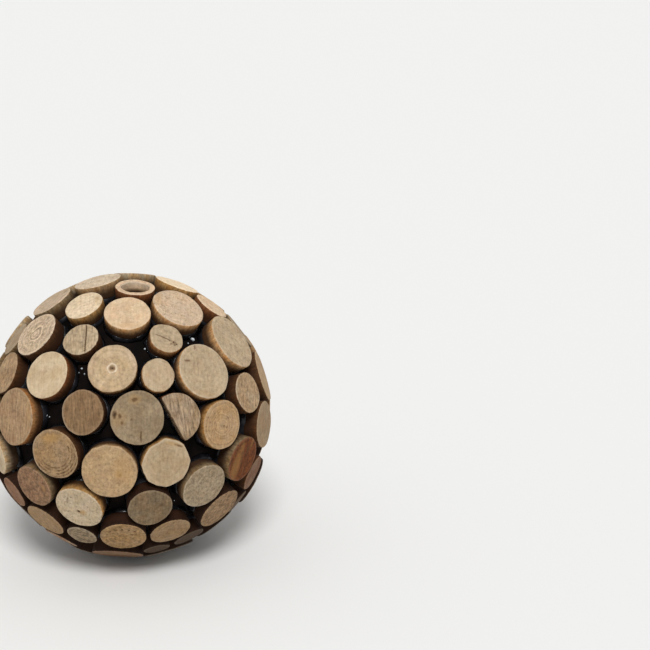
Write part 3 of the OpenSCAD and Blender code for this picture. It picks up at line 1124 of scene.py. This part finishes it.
def back_look(solid, kind, seed):
    """A drawn look, or a plain one at the ball's outline; darkened on the underside with painted shade."""
    style = drawn_look(kind, random.Random(seed))
    at_outline = solid.axis.dot(VIEW) > AT_OUTLINE
    if at_outline:
        style = look("dun", "tan", "mossy", light=0.85)
    # Painted shade on the underside: darker tones, the darkest bark, and dark brown tones at the outline
    if solid.axis.z < -UNDERSIDE:
        shade = max(DARKEST, 1 + 2 * (solid.axis.z + UNDERSIDE))
        style.update(bark="char", light=style["light"] * shade)
        if at_outline:
            style.update(tone="umber", second="mauve")
    return style


# Slices round the back, one piece for each kind of branch
for number, kind in enumerate(CHOICES):
    name = "back_slices_" + kind
    shape = Shape()
    for k, solid in enumerate(solids_of(nodes[name])):
        seed = BACK_SEED + BACK_SEED_STEP * number + k
        all_solids.append((solid, BACK_GLUE_SEED + seed))
        style = back_look(solid, kind, seed)
        SliceMaker(shape, solid, style, BACK_COUNT, BACK_SPACING, seed).add()
    place_piece(shape.made(name + "_wood", WOOD), name)

# Points round a glue pad
PAD_COUNT = 72
# How far a pad reaches in under its slice, lies below the slice's foot, feathers out and sinks into the core
PAD_IN = 0.5
PAD_TUCK = 0.02
PAD_FOOT = 0.35
PAD_SUNK = 0.1
# How deep in the core the point that closes a pad lies
PAD_ROOT = 1.2
# Least that is squeezed out, and how much further it spreads and climbs where there is more
PAD_LEAST = 0.06
PAD_SPREAD = 1.2
PAD_CLIMB = 1.3
# Shares of the slice's outline at which crumbs lie in its hollow
CRUMB_RINGS = (0.8, 0.65, 0.5, 0.35, 0.18)


def core_height(x, y):
    """Height of the core's surface beside a slice's axis."""
    return math.sqrt(CORE_R ** 2 - x * x - y * y)


def add_pad(shape, solid, seed):
    """A pad of glue under a slice, squeezed out unevenly round its foot."""
    ring = around(solid.outline, PAD_COUNT)
    out = outward(ring)
    seat = solid.foot
    columns = []
    for i, (x, y) in enumerate(ring):
        a = math.atan2(y, x)
        more = max(0.0, wobble_round(a, 1.8, 0, seed) + 0.25 * wobble_round(a, 6, 2, seed) - 0.1)
        wide = PAD_LEAST + PAD_SPREAD * more
        climb = PAD_LEAST + PAD_CLIMB * more
        reaches = (-PAD_IN, -0.05, 0.45 * wide, 0.85 * wide, wide, wide + PAD_FOOT)
        places = [ring[i] + out[i] * reach for reach in reaches]
        heights = (
            seat - PAD_TUCK,
            seat + climb,
            seat + 0.9 * climb,
            seat + 0.45 * climb,
            max(core_height(*places[4]) + 0.08, seat - 0.4),
            core_height(*places[5]) - PAD_SUNK,
        )
        columns.append([shape.add(solid.world(*place, h)) for place, h in zip(places, heights)])
    rows = list(zip(*columns))
    top_h = seat - PAD_TUCK
    dusty = (0, 0, 0)
    if solid.hole:
        # Crumbs of rotted wood lie on the glue in the hollow slice
        dusty = (0, 1, 0)
        for share in CRUMB_RINGS:
            row = []
            for x, y in ring * share:
                lump = 0.5 * wobble(0.9 * x, 0.9 * y, 0, seed) + 0.25 * wobble(2.6 * x, 2.6 * y, 3, seed)
                row.append(shape.add(solid.world(x, y, seat + 0.15 + lump), wear=dusty))
            rows.insert(0, row)
        top_h = seat + 0.2
    top = shape.add(solid.world(0, 0, top_h), wear=dusty)
    low = shape.add(solid.world(0, 0, CORE_R - PAD_ROOT))
    shape.stack(rows, top, low)


# Beads of milky glue between the slices, whose pale tops are a painted glint besides their gloss: places in
# shares of the core's radius, right and up in the picture, and sizes in millimetres
BEADS = (
    (0.475, 0.57, 0.5), (0.44, 0.54, 0.2), (0.50, 0.53, 0.14), (0.11, 0.49, 0.26),
    (0.13, 0.47, 0.12), (-0.36, 0.34, 0.3), (-0.34, 0.30, 0.2), (-0.38, 0.31, 0.14),
    (-0.62, -0.01, 0.27), (-0.60, -0.02, 0.15), (-0.08, -0.83, 0.24), (0.34, -0.66, 0.13),
)
BEAD_COUNT = 20
# Rings of a bead from its foot up, as shares of its size: how far out and how high
BEAD_RINGS = ((1.0, -0.25), (0.98, 0.3), (0.85, 0.75), (0.6, 1.05), (0.3, 1.2))
BEAD_TOP = 1.23
BEAD_LOW = -0.3


def add_bead(shape, right, up, size, seed):
    """A bead of milky glue on the core."""
    side = VIEW_UP.cross(VIEW)
    normal = side * right + VIEW_UP * up + VIEW * math.sqrt(1 - right * right - up * up)
    x_way = normal.orthogonal().normalized()
    y_way = normal.cross(x_way)

    def above(high):
        return BALL + normal * (CORE_R + size * high)

    rows = []
    for share, high in BEAD_RINGS:
        row = []
        for k in range(BEAD_COUNT):
            a = 2 * math.pi * k / BEAD_COUNT
            uneven = size * share * (1 + 0.6 * wobble_round(a, 1.1, high, seed))
            p = above(high) + (x_way * math.cos(a) + y_way * math.sin(a)) * uneven
            # Painted glint: the bead turns whiter towards its top
            row.append(shape.add(p * MM, wear=(max(0.0, min(1.0, high)), 0, 0)))
        rows.append(row)
    top = shape.add(above(BEAD_TOP) * MM, wear=(1, 0, 0))
    low = shape.add(above(BEAD_LOW) * MM)
    shape.stack(rows[::-1], top, low)


# Glue: all pads and beads are one piece
pads = Shape()
for solid, seed in all_solids:
    add_pad(pads, solid, seed)
for number, (right, up, size) in enumerate(BEADS):
    add_bead(pads, right, up, size, BEAD_SEED + number)
place_piece(pads.made("glue_pads", glue_material()), "glue")

# Core: a foam ball with a coarse coat of black paint, as lumps of so many millimetres and waves
CORE_LUMPS = ((0.10, 9), (0.06, 30))
CORE_SUNK = 0.1
bm = bmesh.new()
bmesh.ops.create_icosphere(bm, subdivisions=6, radius=1)
for v in bm.verts:
    n = v.co.normalized()
    lumps = sum(high * noise.noise(n * waves) for high, waves in CORE_LUMPS)
    v.co = (BALL + n * (CORE_R - CORE_SUNK + lumps)) * MM
core_mesh = bpy.data.meshes.new("core_paint")
bm.to_mesh(core_mesh)
bm.free()
place_piece(linked("core_paint", core_mesh, core_material()), "core")

# Floor
FLOOR_COLOUR = (0.86, 0.86, 0.848, 1)
FLOOR_SIZE = 12
bpy.ops.mesh.primitive_plane_add(size=FLOOR_SIZE, location=(0, 0, 0))
floor = bpy.context.object
floor.name = "floor"
floor_finish = new_material("floor").set(Base_Color=FLOOR_COLOUR, Roughness=0.9, Specular_IOR_Level=0.2)
floor.data.materials.append(floor_finish)

# Light: a soft sun from above the front and an even dome
SUN_FROM = Vector((0.0, -0.643, 0.766))
SUN_ENERGY = 2.2
SUN_SOFTNESS = math.radians(20)
DOME_STRENGTH = 0.49
BACKDROP = (0.87, 0.87, 0.855, 1)
sun_data = bpy.data.lights.new("key", "SUN")
sun_data.energy = SUN_ENERGY
sun_data.angle = SUN_SOFTNESS
sun = bpy.data.objects.new("key", sun_data)
sun.rotation_euler = SUN_FROM.to_track_quat("Z", "Y").to_euler()
bpy.context.scene.collection.objects.link(sun)

world = bpy.data.worlds.new("studio")
bpy.context.scene.world = world
g = Graph(world)
dome = g.tree.nodes["Background"]
g.feed(dome.inputs["Color"], (1, 1, 1, 1))
g.feed(dome.inputs["Strength"], DOME_STRENGTH)
backdrop = g.node("ShaderNodeBackground", {"Color": BACKDROP, "Strength": 1.0}).outputs[0]
# The view, reflections and what shines through see the backdrop
light_path = g.node("ShaderNodeLightPath").outputs
sees_backdrop = light_path["Is Camera Ray"]
for kind in ("Is Glossy Ray", "Is Transmission Ray"):
    sees_backdrop = g.math("MAXIMUM", sees_backdrop, light_path[kind])
blend = g.node("ShaderNodeMixShader", {0: sees_backdrop, 1: dome.outputs[0], 2: backdrop}).outputs[0]
g.feed(g.tree.nodes["World Output"].inputs["Surface"], blend)

# Camera: turned so that the ball falls where the picture has it, seen at its elevation
SENSOR_WIDE = 36
camera_data = bpy.data.cameras.new("camera")
camera_data.sensor_width = SENSOR_WIDE
camera_data.lens = SENSOR_WIDE * FOCAL_LENGTH / PICTURE_WIDE
camera_data.clip_start = 0.01
camera = bpy.data.objects.new("camera", camera_data)
ray = Vector((BALL_ACROSS - PICTURE_MIDDLE, PICTURE_MIDDLE - BALL_DOWN, -FOCAL_LENGTH)).normalized()
pitch = math.asin(math.sin(ELEVATION) / math.hypot(ray.y, ray.z)) - math.atan2(-ray.y, -ray.z)
level = math.cos(pitch) * -ray.z + math.sin(pitch) * ray.y
yaw = math.atan2(ray.x, level)
turn = Matrix.Rotation(yaw, 3, "Z") @ Matrix.Rotation(math.pi / 2 - pitch, 3, "X")
camera.matrix_world = Matrix.Translation((BALL - turn @ ray * DISTANCE) * MM) @ turn.to_4x4()
bpy.context.scene.collection.objects.link(camera)
bpy.context.scene.camera = camera
bpy.context.scene.view_settings.view_transform = "Standard"

bpy.context.view_layer.update()
